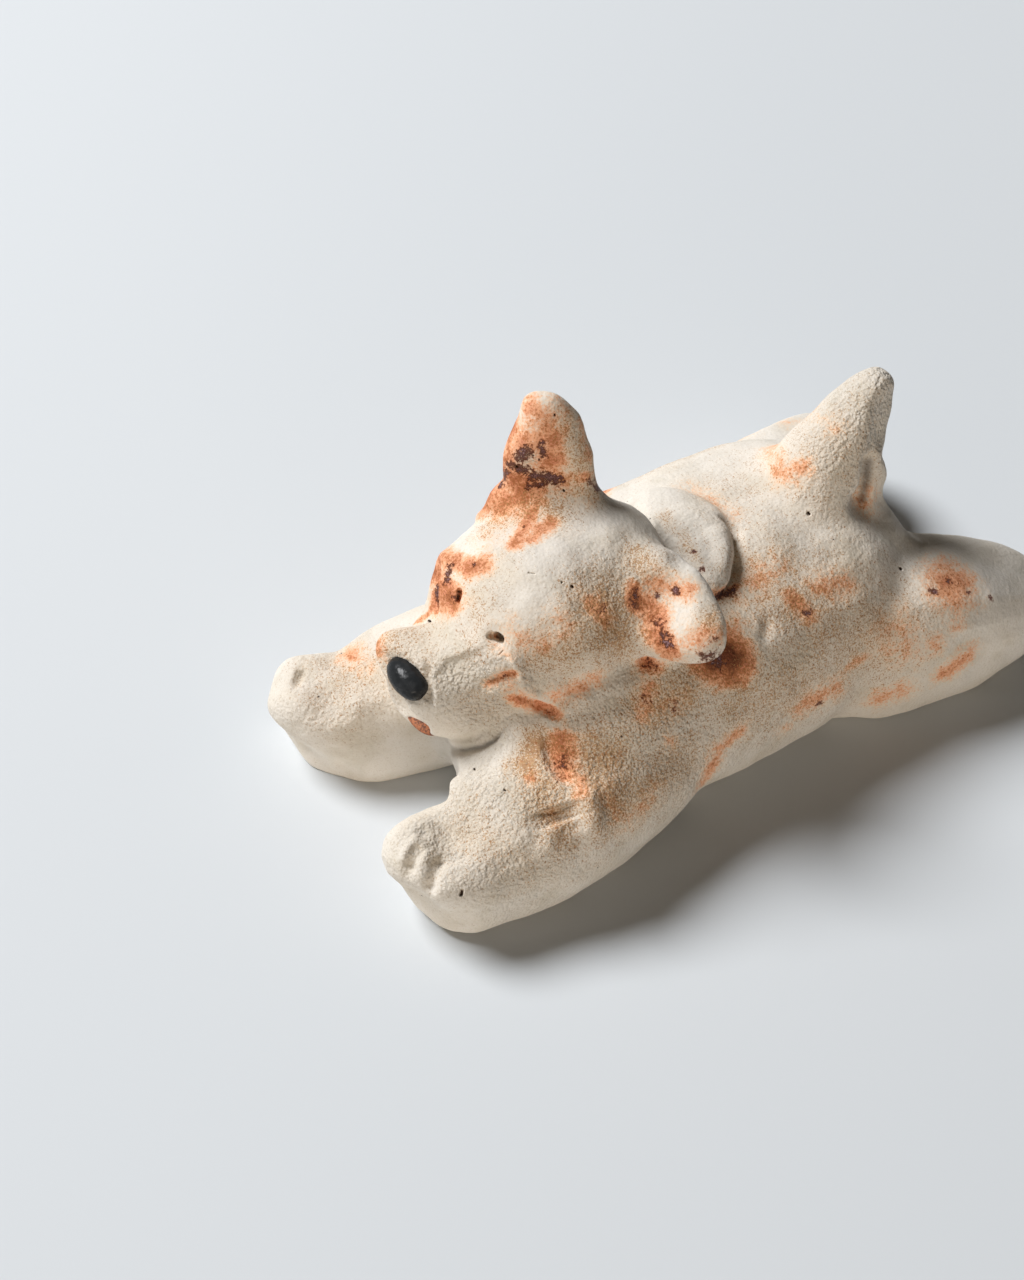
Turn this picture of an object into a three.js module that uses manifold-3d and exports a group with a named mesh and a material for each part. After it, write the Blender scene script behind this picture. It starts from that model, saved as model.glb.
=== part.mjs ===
// Stoneware dog lying flat on its belly with its legs stretched out, hand built from twelve lumps of clay.
// Millimetres. +Z is up, the nose points to -Y and the dog's left side is +X.
// The origin is on the table, under the middle of the figure.

import * as THREE from "three";
import { mergeVertices } from "three/addons/utils/BufferGeometryUtils.js";
import Module from "manifold-3d";

const wasm = await Module();
wasm.setup();

// Joints between lumps
const slipGap = 0.3; // room for the slip that lutes one lump to the next

// Torso: a fat roll along Y, pressed flat under the belly
const torsoLength = 67.5;
const torsoWidth = 42;
const backHeight = 29.3; // top of the back above the table
const bellySink = 6; // how far the round belly would hang below the table before it is pressed flat

// Head: a wedge from the nape to the end of the muzzle
const muzzleReach = 26; // from the middle of the skull to the end of the muzzle
const napeReach = 12.5; // from the middle of the skull back to the nape
const skullWidth = 30;
const skullHeight = 31;
const muzzleWidth = 15.6;
const muzzleHeight = 16;
const muzzleDrop = 5; // how far the muzzle's end lies below the middle of the skull
const skullSink = 4.3; // middle of the skull below the top of the back
const skullSet = 20.5; // middle of the skull behind the end of the chest
const headShift = 2.2; // how far the head sits towards the dog's right
const muzzleTurn = 0.8; // how far the muzzle's end points to the dog's right of the skull's middle
const browLift = 2;
const browReach = 6;
const cheekLift = 1.5;
const cheekReach = 8;
const crownLift = 1.4; // between the ears and behind them
const crownReach = 8;

// Eyes: two pricked holes
const eyeHoleWidth = 1.8;
const eyeHoleDepth = 2.5;
const eyeForward = 16.2; // in front of the middle of the skull
const eyeSpacing = 7.9;
const eyeShift = 1.7; // how far the pair sits towards the dog's left
const eyeSplay = 0.3; // how far each hole opens sideways, against 0.65 forward and 0.7 up

// Ears
const rightEarLength = 19.5;
const rightEarWidth = 12;
const rightEarThickness = 6;
const rightEarLean = [-0.24, 0.06, 0.97]; // direction in which the pricked ear stands
const rightEarFace = [0.8, -0.55, 0.2]; // direction that its hollow side faces
const leftEarLength = 16;
const leftEarWidth = 15;
const leftEarThickness = 6.4;
const leftEarLean = [0.93, 0.3, -0.22];
const leftEarFace = [0.36, -0.49, 0.79];
const rightEarInset = 9.6; // root of the ear inside the side of the skull
const leftEarInset = 9.4;
const leftEarBack = 4; // root of the drooping ear behind the middle of the skull
const earSink = 7; // roots of the ears below the top of the skull
const earHollow = 1.3; // depth of the thumb print inside each ear
const earHollowReach = 6;

// Nose and tongue: small pellets pressed into the end of the muzzle
const noseLength = 6.6;
const noseThickness = 4.2;
const noseRise = 4.7; // above the middle of the muzzle's end
const noseSeat = 1; // how far the nose's middle lies behind the muzzle's end
const noseShift = 0.6; // how far the nose lies towards the dog's left of the muzzle's middle
const pelletBend = 0.3; // how far the ends of the nose and tongue curve back
const tongueLength = 6.5;
const tongueDepth = 4;
const tongueThickness = 1.8;
const tongueFall = 3.4; // below the middle of the muzzle's end
const tongueSeat = 2.9; // how far the tongue's middle lies behind the muzzle's end
const tongueShift = 1.3; // how far the tongue lies towards the dog's left of the muzzle's middle

// Legs: each is measured at its root, its middle, its wrist or hock, and its paw.
// inside: how far its middle lies inside the torso's flank. beyond: how far it lies past the torso's end.
const frontLegLeft = {
  inside: [11, 7, 6, 6],
  beyond: [-33, -5, 7, 15.5],
  lift: [9, 8, 6.5, 6],
  width: [25, 21, 15.2, 16.5],
  height: [24, 21, 15, 15],
};
const frontLegRight = {
  inside: [12, 9, 6, -0.8],
  beyond: [-27, -4, 7, 14.3],
  lift: [9, 7, 5.6, 6.8],
  width: [22, 19, 15.2, 13.5],
  height: [27, 22, 18.5, 16.5],
};
const hindLegLeft = {
  inside: [12, 9, 5.6, 2.3],
  beyond: [-20, -8, 3, 14],
  lift: [9, 8.5, 7.5, 6],
  width: [24, 21, 18, 14],
  height: [27, 25, 21, 17],
};
const hindLegRight = {
  inside: [12, 9, 6.5, 5],
  beyond: [-20, -8, 2, 9.5],
  lift: [9, 8, 7, 6],
  width: [24, 20, 17, 13],
  height: [25, 23, 20, 16],
};
// Thumb marks on the front paws.
// aside: from the paw's middle towards the dog's left. above: over the table. behind: from the paw's end.
const frontPawMarks = {
  front_leg_left: [
    { aside: 8.5, above: 5, reach: 9, lift: -1.6 },
    { aside: 2, above: 4.5, reach: 8.5, lift: -2.8 },
    { aside: -5, above: 11, behind: 2.6, reach: 7.5, lift: 2.2 },
  ],
  front_leg_right: [
    { aside: 7, above: 3, reach: 8, lift: -1.8 },
    { aside: 2, above: 2, reach: 8, lift: -2.2 },
  ],
};
const toeGrooveWidth = 1.5;
const toeGrooveDepth = 0.8;
const toeGrooveLength = 3;
const toeGrooveSlope = [0.4, -0.65, -0.65]; // the grooves run forward, down and to the dog's left
const toeSetBack = 2.2; // middle of the grooves behind the end of the paw

// Tail: a tapered thumb of clay standing on the rump
const tailSet = 15.5; // root of the tail ahead of the end of the rump
const tailSink = 13; // root of the tail below the top of the back
const tailLength = 25.6;
const tailRootWidth = 20;
const tailTipWidth = 7.8;
const tailLean = 14.4; // how far the tip lies behind the root
const tailBow = 0.4; // how far the tip lies towards the dog's right
const tailShift = -0.4; // how far the root lies towards the dog's left

// Scruff patch: a tab of soft clay smeared over the neck joint
const scruffLength = 19;
const scruffWidth = 20;
const scruffThickness = 7;
const scruffSlant = 0.25; // share of its length by which the patch runs to the dog's left
const scruffSet = 0.6; // middle of the patch behind the end of the nape
const scruffDrop = 1; // middle of the patch below the top of the back

const chestEnd = -torsoLength / 2;
const rumpEnd = torsoLength / 2;

const stoneware = new THREE.MeshStandardMaterial({ color: 0xd6cab6, roughness: 0.9, metalness: 0 });
const blackGlaze = new THREE.MeshStandardMaterial({ color: 0x14171a, roughness: 0.25, metalness: 0 });
const ironClay = new THREE.MeshStandardMaterial({ color: 0xa85a35, roughness: 0.85, metalness: 0 });

// A superellipse's radius towards a unit direction (c, s).
function superRadius(c, s, squareness) {
  return (Math.abs(c) ** squareness + Math.abs(s) ** squareness) ** (-1 / squareness);
}

// A lump rolled along a spine, closed and round at both ends.
// Each section is [x, y, z, half width, half height]. The height is measured towards up.
function rollLump({ sections, up = [0, 0, 1], ends = [0.6, 0.6], squareness = 2.2, rings = 16, sides = 20 }) {
  const spine = new THREE.CatmullRomCurve3(sections.map(([x, y, z]) => new THREE.Vector3(x, y, z)));
  const girth = new THREE.CatmullRomCurve3(sections.map((s) => new THREE.Vector3(s[3], s[4], 0)));
  const ball = new THREE.SphereGeometry(1, sides, rings);
  const place = ball.getAttribute("position");
  const upward = new THREE.Vector3(...up);
  for (let i = 0; i < place.count; i++) {
    const onBall = new THREE.Vector3().fromBufferAttribute(place, i);
    const t = THREE.MathUtils.clamp((1 - onBall.y) / 2, 0, 1);
    const point = spine.getPoint(t);
    const edge = Math.hypot(onBall.x, onBall.z);
    if (edge > 1e-6) {
      const size = girth.getPoint(t);
      const tangent = spine.getTangent(t);
      const across = new THREE.Vector3().crossVectors(upward, tangent).normalize();
      const over = new THREE.Vector3().crossVectors(tangent, across);
      const c = onBall.x / edge;
      const s = onBall.z / edge;
      const swell = edge ** THREE.MathUtils.lerp(ends[0], ends[1], t) * superRadius(c, s, squareness);
      point.addScaledVector(across, swell * c * size.x);
      point.addScaledVector(over, swell * s * size.y);
    }
    place.setXYZ(i, point.x, point.y, point.z);
  }
  ball.deleteAttribute("normal");
  ball.deleteAttribute("uv");
  return mergeVertices(ball, 1e-4);
}

// A thumb mark: lift above 0 adds clay, below 0 presses it in.
function thumb(lump, { at, reach, lift }) {
  lump.computeVertexNormals();
  const place = lump.getAttribute("position");
  const out = lump.getAttribute("normal");
  const centre = new THREE.Vector3(...at);
  for (let i = 0; i < place.count; i++) {
    const point = new THREE.Vector3().fromBufferAttribute(place, i);
    const near = Math.max(0, 1 - point.distanceToSquared(centre) / reach ** 2);
    point.addScaledVector(new THREE.Vector3().fromBufferAttribute(out, i), lift * near ** 2);
    place.setXYZ(i, point.x, point.y, point.z);
  }
  lump.deleteAttribute("normal");
}

function named(name, geometry, material) {
  const mesh = new THREE.Mesh(geometry, material);
  mesh.name = name;
  return mesh;
}

// The closed solid of a mesh where it stands, made larger all over by grow.
function solid(mesh, grow = 0) {
  mesh.updateWorldMatrix(true, false);
  const shape = mesh.geometry.clone().applyMatrix4(mesh.matrixWorld);
  shape.computeVertexNormals();
  const place = shape.getAttribute("position");
  const out = shape.getAttribute("normal");
  for (let i = 0; i < place.count; i++) {
    const point = new THREE.Vector3().fromBufferAttribute(place, i);
    point.addScaledVector(new THREE.Vector3().fromBufferAttribute(out, i), grow);
    place.setXYZ(i, point.x, point.y, point.z);
  }
  shape.deleteAttribute("normal");
  shape.deleteAttribute("uv");
  const merged = mergeVertices(shape, 1e-4);
  return new wasm.Manifold(
    new wasm.Mesh({
      numProp: 3,
      vertProperties: new Float32Array(merged.getAttribute("position").array),
      triVerts: new Uint32Array(merged.index.array),
    }),
  );
}

// Cuts the cutters out of a mesh, wipes away loose crumbs and gives the mesh the shape that is left.
function carve(mesh, cutters, grow = slipGap) {
  const cut = cutters.reduce((left, cutter) => left.subtract(solid(cutter, grow)), solid(mesh));
  const body = cut.decompose().sort((a, b) => b.volume() - a.volume())[0];
  const { vertProperties, triVerts } = body.getMesh();
  const shape = new THREE.BufferGeometry();
  shape.setAttribute("position", new THREE.BufferAttribute(new Float32Array(vertProperties), 3));
  shape.setIndex(new THREE.BufferAttribute(new Uint32Array(triVerts), 1));
  mesh.geometry = shape.applyMatrix4(mesh.matrixWorld.clone().invert());
}

function makeTorso() {
  const middle = (backHeight - bellySink) / 2;
  const halfHeight = (backHeight + bellySink) / 2;
  // share of the length from the middle, share of the width, share of the height
  const form = [
    [-0.5, 0.4, 0.55],
    [-0.43, 0.76, 0.77],
    [-0.28, 0.98, 0.93],
    [-0.09, 0.97, 0.98],
    [0.12, 0.95, 1],
    [0.3, 0.98, 1],
    [0.42, 0.88, 0.95],
    [0.5, 0.55, 0.72],
  ];
  const sections = form.map(([along, wide, high]) => [
    0,
    along * torsoLength,
    middle,
    (wide * torsoWidth) / 2,
    high * halfHeight,
  ]);
  return named("torso", rollLump({ sections, squareness: 2.3, rings: 24, sides: 28 }), stoneware);
}

// The head's own frame has its origin in the middle of the skull.
function makeHead() {
  // share of the muzzle's reach, share of its drop, share of the way from muzzle to skull in width and height
  const form = [
    [1, 1, -0.2, -0.14],
    [0.82, 0.9, 0, 0],
    [0.62, 0.8, 0.24, 0.21],
    [0.33, 0.3, 0.7, 0.79],
    [0, 0, 1, 1],
  ];
  const sections = form.map(([reach, drop, wide, high]) => [
    -reach * muzzleTurn,
    -reach * muzzleReach,
    -drop * muzzleDrop,
    THREE.MathUtils.lerp(muzzleWidth, skullWidth, wide) / 2,
    THREE.MathUtils.lerp(muzzleHeight, skullHeight, high) / 2,
  ]);
  sections.push([muzzleTurn, napeReach, 0, 0.46 * skullWidth, 0.47 * skullHeight]);
  const lump = rollLump({ sections, ends: [0.45, 0.7], squareness: 2.3, rings: 24, sides: 28 });
  // share of the skull's width, of the muzzle's reach and of the skull's height, then how far and how high
  const marks = [
    [-0.27, -0.62, 0.17, browReach, browLift],
    [0.19, -0.58, 0.15, browReach, browLift / 2],
    [0.27, -0.25, -0.27, cheekReach, cheekLift],
    [-0.33, -0.25, -0.27, cheekReach, cheekLift],
    [0.05, 0.27, 0.34, crownReach, crownLift],
  ];
  marks.forEach(([side, ahead, above, reach, lift]) => {
    thumb(lump, { at: [side * skullWidth, ahead * muzzleReach, above * skullHeight], reach, lift });
  });
  return named("head", lump, stoneware);
}

// Turns a mesh so that its +Z runs along one direction while its -Y faces another as far as it can.
function aim(mesh, along, facing) {
  const lengthwise = new THREE.Vector3(...along).normalize();
  const sideways = new THREE.Vector3().crossVectors(lengthwise, new THREE.Vector3(...facing)).normalize();
  const backwards = new THREE.Vector3().crossVectors(lengthwise, sideways);
  mesh.setRotationFromMatrix(new THREE.Matrix4().makeBasis(sideways, backwards, lengthwise));
}

// An ear in its own frame stands on the origin along +Z with its hollow face to -Y.
// Each row of its form: share of the length, of the width and of the thickness, and of the width to one side.
function makeEar(name, length, width, thickness, hollowAt, form) {
  const sections = form.map(([along, wide, thick, aside = 0]) => [
    aside * width,
    0,
    along * length,
    (wide * width) / 2,
    (thick * thickness) / 2,
  ]);
  const options = { up: [0, -1, 0], ends: [0.6, 0.7], squareness: 2.1, rings: 14, sides: 20 };
  const lump = rollLump({ sections, ...options });
  thumb(lump, { at: [0, -thickness / 2, hollowAt * length], reach: earHollowReach, lift: -earHollow });
  return named(name, lump, stoneware);
}

function makeRightEar() {
  const ear = makeEar("ear_right", rightEarLength, rightEarWidth, rightEarThickness, 0.4, [
    [-0.1, 1.3, 1.4],
    [0.35, 1, 1.1],
    [0.68, 0.9, 0.95],
    [1, 0.62, 0.75],
  ]);
  ear.position.set(rightEarInset - skullWidth / 2, 0, skullHeight / 2 - earSink);
  aim(ear, rightEarLean, rightEarFace);
  return ear;
}

function makeLeftEar() {
  const ear = makeEar("ear_left", leftEarLength, leftEarWidth, leftEarThickness, 0.45, [
    [-0.15, 0.9, 1.25, 0.03],
    [0.3, 0.82, 1.1, 0.07],
    [0.66, 0.68, 0.95, 0.09],
    [1, 0.38, 0.72, 0.03],
  ]);
  ear.position.set(skullWidth / 2 - leftEarInset, leftEarBack, skullHeight / 2 - earSink);
  aim(ear, leftEarLean, leftEarFace);
  return ear;
}

// A small pellet lying across the muzzle's end.
function makePellet(name, length, depth, thickness, material) {
  const girth = [depth / 2, thickness / 2];
  const sections = [-1, 0, 1].map((step) => [(step * length) / 2, pelletBend * Math.abs(step), 0, ...girth]);
  const options = { ends: [0.65, 0.65], squareness: 2, rings: 12, sides: 16 };
  return named(name, rollLump({ sections, ...options }), material);
}

// A leg lies beside the torso: side is 1 on the dog's left, and end is where the torso stops.
function makeLeg(name, leg, side, end) {
  const sections = leg.inside.map((inside, i) => [
    side * (torsoWidth / 2 - inside),
    end + Math.sign(end) * leg.beyond[i],
    leg.lift[i],
    leg.width[i] / 2,
    leg.height[i] / 2,
  ]);
  const lump = rollLump({ sections, ends: [0.6, 0.4], squareness: 2.7 });
  return named(name, lump, stoneware);
}

// Presses a front paw into shape from its end.
function pressPaw(paw, middle) {
  paw.geometry.computeBoundingBox();
  const tip = paw.geometry.boundingBox.min.y;
  frontPawMarks[paw.name].forEach(({ aside, above, behind = 0, reach, lift }) => {
    thumb(paw.geometry, { at: [middle + aside, tip + behind, above], reach, lift });
  });
}

// The point on a mesh's upper side above a place on the table.
function topPoint(mesh, x, y) {
  mesh.updateWorldMatrix(true, false);
  const skyHeight = 1000;
  const ray = new THREE.Raycaster(new THREE.Vector3(x, y, skyHeight), new THREE.Vector3(0, 0, -1));
  return ray.intersectObject(mesh)[0].point;
}

// A round-ended stick pushed into a mesh at the point above (x, y). It runs both ways along a direction.
function stick(mesh, { x, y, along, width, length, sink }) {
  const tool = named("stick", new THREE.CapsuleGeometry(width / 2, length, 4, 10), stoneware);
  tool.position.copy(topPoint(mesh, x, y));
  tool.position.z -= sink;
  tool.quaternion.setFromUnitVectors(new THREE.Vector3(0, 1, 0), new THREE.Vector3(...along).normalize());
  return tool;
}

function makeEyeHoles(head) {
  return [-1, 1].map((side) => {
    const x = -headShift + eyeShift + (side * eyeSpacing) / 2;
    const y = chestEnd + skullSet - eyeForward;
    const along = [eyeSplay * side, -0.65, 0.7];
    const length = 2 * eyeHoleDepth - eyeHoleWidth;
    return stick(head, { x, y, along, width: eyeHoleWidth, length, sink: 0 });
  });
}

// Stick marks that part the toes. Each offset is a groove's place across the paw from its middle.
function makeToeGrooves(mesh, leg, side, offsets) {
  const paw = leg.inside.length - 1;
  const sink = toeGrooveDepth - toeGrooveWidth / 2;
  return offsets.map((offset) => {
    const x = side * (torsoWidth / 2 - leg.inside[paw]) + offset;
    const y = chestEnd - leg.beyond[paw] + toeSetBack;
    return stick(mesh, { x, y, along: toeGrooveSlope, width: toeGrooveWidth, length: toeGrooveLength, sink });
  });
}

function makeTail() {
  const form = [
    [0, 0, 1],
    [0.32, 0.21, 0.75],
    [0.64, 0.57, 0.56],
    [1, 1, tailTipWidth / tailRootWidth],
  ];
  const sections = form.map(([along, lean, wide]) => [
    -tailBow * lean ** 2,
    lean * tailLean,
    along * tailLength,
    (wide * tailRootWidth) / 2,
    (wide * tailRootWidth) / 2,
  ]);
  const options = { up: [0, 1, 0], ends: [0.6, 0.7], squareness: 2, rings: 14, sides: 18 };
  const tail = named("tail", rollLump({ sections, ...options }), stoneware);
  tail.position.set(tailShift, rumpEnd - tailSet, backHeight - tailSink);
  return tail;
}

function makeScruffPatch() {
  const form = [
    [-0.4, 0.8, 1.1, -2.5],
    [0, 1, 1, 0],
    [0.4, 0.85, 0.7, 0.5],
  ];
  const sections = form.map(([along, wide, thick, rise]) => [
    scruffSlant * along * scruffLength,
    along * scruffLength,
    rise,
    (wide * scruffWidth) / 2,
    (thick * scruffThickness) / 2,
  ]);
  const options = { ends: [0.6, 0.5], rings: 12, sides: 20 };
  const patch = named("scruff_patch", rollLump({ sections, ...options }), stoneware);
  patch.position.set(0, chestEnd + skullSet + napeReach + scruffSet, backHeight - scruffDrop);
  return patch;
}

const figure = new THREE.Group();
const headGroup = new THREE.Group();
const torso = makeTorso();
const head = makeHead();
const earRight = makeRightEar();
const earLeft = makeLeftEar();
const nose = makePellet("nose", noseLength, noseThickness, noseThickness, blackGlaze);
const tongue = makePellet("tongue", tongueLength, tongueDepth, tongueThickness, ironClay);
const legs = [
  makeLeg("front_leg_left", frontLegLeft, 1, chestEnd),
  makeLeg("front_leg_right", frontLegRight, -1, chestEnd),
  makeLeg("hind_leg_left", hindLegLeft, 1, rumpEnd),
  makeLeg("hind_leg_right", hindLegRight, -1, rumpEnd),
];
const frontPaws = legs.slice(0, 2);
pressPaw(frontPaws[0], torsoWidth / 2 - frontLegLeft.inside[3]);
pressPaw(frontPaws[1], frontLegRight.inside[3] - torsoWidth / 2);
const tail = makeTail();
const scruffPatch = makeScruffPatch();

nose.position.set(noseShift - muzzleTurn, noseSeat - muzzleReach, noseRise - muzzleDrop);
tongue.position.set(tongueShift - muzzleTurn, tongueSeat - muzzleReach, -tongueFall - muzzleDrop);
headGroup.position.set(-headShift, chestEnd + skullSet, backHeight - skullSink);
headGroup.add(head, earRight, earLeft, nose, tongue);
figure.add(torso, headGroup, ...legs, tail, scruffPatch);
const lumps = [torso, head, earRight, earLeft, nose, tongue, ...legs, tail, scruffPatch];

// The head sits on the torso and holds the nose and tongue. The rest is luted round these two.
carve(head, makeEyeHoles(head), 0);
carve(tongue, [torso]);
carve(head, [torso, nose, tongue]);
carve(earRight, [head, torso]);
carve(earLeft, [head, torso]);
carve(frontPaws[0], makeToeGrooves(frontPaws[0], frontLegLeft, 1, [-3.2, 0.5]), 0);
carve(frontPaws[1], makeToeGrooves(frontPaws[1], frontLegRight, -1, [-2, 1.6]), 0);
legs.forEach((leg) => carve(leg, [torso, head]));
carve(tail, [torso]);
carve(scruffPatch, [torso, head, earLeft, earRight]);

// The table presses every underside flat.
const tableSpan = 3 * (torsoLength + torsoWidth);
const table = named("table", new THREE.BoxGeometry(tableSpan, tableSpan, tableSpan), stoneware);
table.position.z = -tableSpan / 2;
lumps.forEach((lump) => carve(lump, [table], 0));

// The origin goes under the middle of the figure.
const middle = new THREE.Box3().setFromObject(figure, true).getCenter(new THREE.Vector3());
figure.position.set(-middle.x, -middle.y, 0);

export default figure;
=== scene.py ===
# Stoneware dog: clay lumps luted together, smeared over, marked with a stick and fired.
# Metres, in the same frame as the solids. The nose points to -Y and the dog's left side is +X.
import bmesh
import bpy
import math
import numpy as np
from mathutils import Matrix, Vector, noise
from mathutils.bvhtree import BVHTree


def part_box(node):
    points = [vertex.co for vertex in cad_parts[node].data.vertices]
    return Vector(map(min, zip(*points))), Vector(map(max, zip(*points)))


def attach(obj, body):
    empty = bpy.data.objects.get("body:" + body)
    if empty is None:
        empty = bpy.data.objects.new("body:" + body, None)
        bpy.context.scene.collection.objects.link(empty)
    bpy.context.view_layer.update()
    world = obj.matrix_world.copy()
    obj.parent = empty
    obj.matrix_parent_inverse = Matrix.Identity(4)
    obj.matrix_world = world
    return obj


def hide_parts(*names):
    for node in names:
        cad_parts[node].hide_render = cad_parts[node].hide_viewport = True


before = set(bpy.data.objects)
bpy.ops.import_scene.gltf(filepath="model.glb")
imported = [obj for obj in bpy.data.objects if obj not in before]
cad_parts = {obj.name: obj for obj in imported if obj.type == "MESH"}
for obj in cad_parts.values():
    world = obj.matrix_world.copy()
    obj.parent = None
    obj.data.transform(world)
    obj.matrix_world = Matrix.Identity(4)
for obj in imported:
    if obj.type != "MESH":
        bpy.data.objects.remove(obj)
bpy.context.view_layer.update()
mm = 0.001
weld = 0.001 * mm  # points closer than this are one point
scene = bpy.context.scene

# Camera, placed from the nose
photo = {
    "width": 1024,
    "height": 1280,
    "lens": 85,
    "sensor": 36,
    "azimuth": 57.5,
    "elevation": 50,
    "distance": 392 * mm,
    "fromNose": Vector((-5.1, 18.75, -9.7)) * mm,  # middle of the view, measured from the nose
}


def makeCamera():
    low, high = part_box("nose")
    target = (low + high) / 2 + photo["fromNose"]
    turn, tilt = math.radians(photo["azimuth"]), math.radians(photo["elevation"])
    back = Vector((math.sin(turn) * math.cos(tilt), -math.cos(turn) * math.cos(tilt), math.sin(tilt)))
    data = bpy.data.cameras.new("photoCamera")
    data.lens = photo["lens"]
    data.sensor_width = photo["sensor"]
    data.clip_start = 10 * mm
    camera = bpy.data.objects.new("photoCamera", data)
    camera.location = target + back * photo["distance"]
    camera.rotation_euler = back.to_track_quat("Z", "Y").to_euler()
    scene.collection.objects.link(camera)
    scene.camera = camera
    bpy.context.view_layer.update()
    return camera


camera = makeCamera()
print("camera placed")


# Small helpers for meshes
def newObject(name, bm):
    mesh = bpy.data.meshes.new(name)
    bm.to_mesh(mesh)
    bm.free()
    obj = bpy.data.objects.new(name, mesh)
    scene.collection.objects.link(obj)
    return obj


def applyModifiers(obj):
    finished = bpy.data.meshes.new_from_object(obj.evaluated_get(bpy.context.evaluated_depsgraph_get()))
    old = obj.data
    obj.modifiers.clear()
    obj.data = finished
    bpy.data.meshes.remove(old)


def remesh(obj, voxel):
    mod = obj.modifiers.new("remesh", "REMESH")
    mod.mode = "VOXEL"
    mod.voxel_size = voxel * mm
    mod.use_smooth_shade = True
    applyModifiers(obj)


def swell(obj, amount):
    mod = obj.modifiers.new("swell", "DISPLACE")
    mod.mid_level = 0
    mod.strength = amount * mm
    applyModifiers(obj)


def smooth(obj, rounds):
    mod = obj.modifiers.new("smooth", "SMOOTH")
    mod.iterations = rounds
    applyModifiers(obj)


def boolean(obj, tool, operation):
    mod = obj.modifiers.new("boolean", "BOOLEAN")
    mod.operation = operation
    mod.object = tool
    mod.solver = "MANIFOLD"
    applyModifiers(obj)


def discard(obj):
    mesh = obj.data
    bpy.data.objects.remove(obj)
    bpy.data.meshes.remove(mesh)


def readVectors(mesh, name="co"):
    values = np.empty(len(mesh.vertices) * 3)
    mesh.vertices.foreach_get(name, values)
    return values.reshape(-1, 3)


def writePoints(mesh, points):
    mesh.vertices.foreach_set("co", points.ravel())
    mesh.update()


# Clay, all of it in one skin first
clayBody = {
    "slip": 0.25,  # mm added to each lump, so that no slip gap is left
    "voxel": 0.5,
    "fineVoxel": 0.32,
    "softening": 8,  # rounds of smoothing for a group
    "fineSoftening": 2,
    "groups": {
        "trunk": {
            "lumps": [
                "torso",
                "front_leg_left",
                "front_leg_right",
                "hind_leg_left",
                "hind_leg_right",
                "tail",
            ],
            "smear": 2.2,
        },
        "skull": {"lumps": ["head", "ear_left", "ear_right"], "smear": 2.4},
        "patch": {"lumps": ["scruff_patch"], "smear": 0},
    },
    "neckSmear": 0.7,
}


def copyLumps(names, grow):
    bm = bmesh.new()
    for name in names:
        lump = bmesh.new()
        lump.from_mesh(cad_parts[name].data)
        bmesh.ops.remove_doubles(lump, verts=lump.verts, dist=weld)
        lump.normal_update()
        for v in lump.verts:
            v.co += v.normal * grow * mm
        copy = bpy.data.meshes.new(name)
        lump.to_mesh(copy)
        lump.free()
        bm.from_mesh(copy)
        bpy.data.meshes.remove(copy)
    return newObject("clay", bm)


def smearOver(obj, radius, voxel):
    swell(obj, radius)  # out and in again leaves a fillet in every corner
    remesh(obj, voxel)
    swell(obj, -radius)


def makeClay():
    skins = []
    for group in clayBody["groups"].values():
        skin = copyLumps(group["lumps"], clayBody["slip"])
        remesh(skin, clayBody["voxel"])
        if group["smear"]:
            smearOver(skin, group["smear"], clayBody["voxel"])
            smooth(skin, clayBody["softening"])
        skins.append(skin)
    bm = bmesh.new()
    for skin in skins:
        bm.from_mesh(skin.data)
        discard(skin)
    whole = newObject("clay", bm)
    remesh(whole, clayBody["fineVoxel"])
    smearOver(whole, clayBody["neckSmear"], clayBody["fineVoxel"])
    smooth(whole, clayBody["fineSoftening"])
    remesh(whole, clayBody["fineVoxel"])
    smooth(whole, clayBody["fineSoftening"])
    whole.modifiers.new("triangles", "TRIANGULATE")
    applyModifiers(whole)
    return whole


clay = makeClay()
print("clay in one skin:", len(clay.data.vertices), "points")


# Places on the clay
class Ground:
    def __init__(self, mesh):
        mesh.calc_loop_triangles()
        self.points = readVectors(mesh)
        self.normals = readVectors(mesh, "normal")
        corners = np.empty(len(mesh.loop_triangles) * 3, dtype=np.int32)
        mesh.loop_triangles.foreach_get("vertices", corners)
        self.corners = corners.reshape(-1, 3)
        self.tree = BVHTree.FromPolygons(self.points.tolist(), self.corners.tolist())
        self.wander = np.zeros_like(self.points)

    def spot(self, place):  # a pixel of the photograph, or a point in mm, put down on the clay
        if len(place) == 2:
            focal = photo["lens"] / photo["sensor"] * photo["height"]
            across, up = place[0] - photo["width"] / 2, photo["height"] / 2 - place[1]
            ray = Vector((across / focal, up / focal, -1))
            ray.rotate(camera.rotation_euler)
            ray.normalize()
            hit, normal, index, far = self.tree.ray_cast(camera.location, ray)
            if hit is None:  # just past the edge of the clay
                steps = [camera.location + ray * (photo["distance"] + k * mm) for k in range(-50, 51)]
                found = (self.tree.find_nearest(step) for step in steps)
                hit, normal, index, far = min(found, key=lambda one: one[3])
        else:
            hit, normal, index, far = self.tree.find_nearest(Vector(place) * mm)
        return np.array(hit), self.normals[self.corners[index]].mean(axis=0)


def distanceTo(points, line, facing):
    best = np.full(len(points), 1.0)
    along = np.zeros(len(points))
    side = np.zeros(len(points))
    steps = max(len(line) - 1, 1)
    for k in range(steps):
        start, end = line[k], line[min(k + 1, len(line) - 1)]
        run = end - start
        share = np.clip((points - start) @ run / max(run @ run, 1e-12), 0, 1)
        gap = np.linalg.norm(points - start - share[:, None] * run, axis=1)
        closer = gap < best
        along[closer] = (k + share[closer]) / steps
        side[closer] = ((points - start) @ np.cross(facing, run) / max(np.linalg.norm(run), 1e-9))[closer]
        best[closer] = gap[closer]
    return best, along, side


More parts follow.
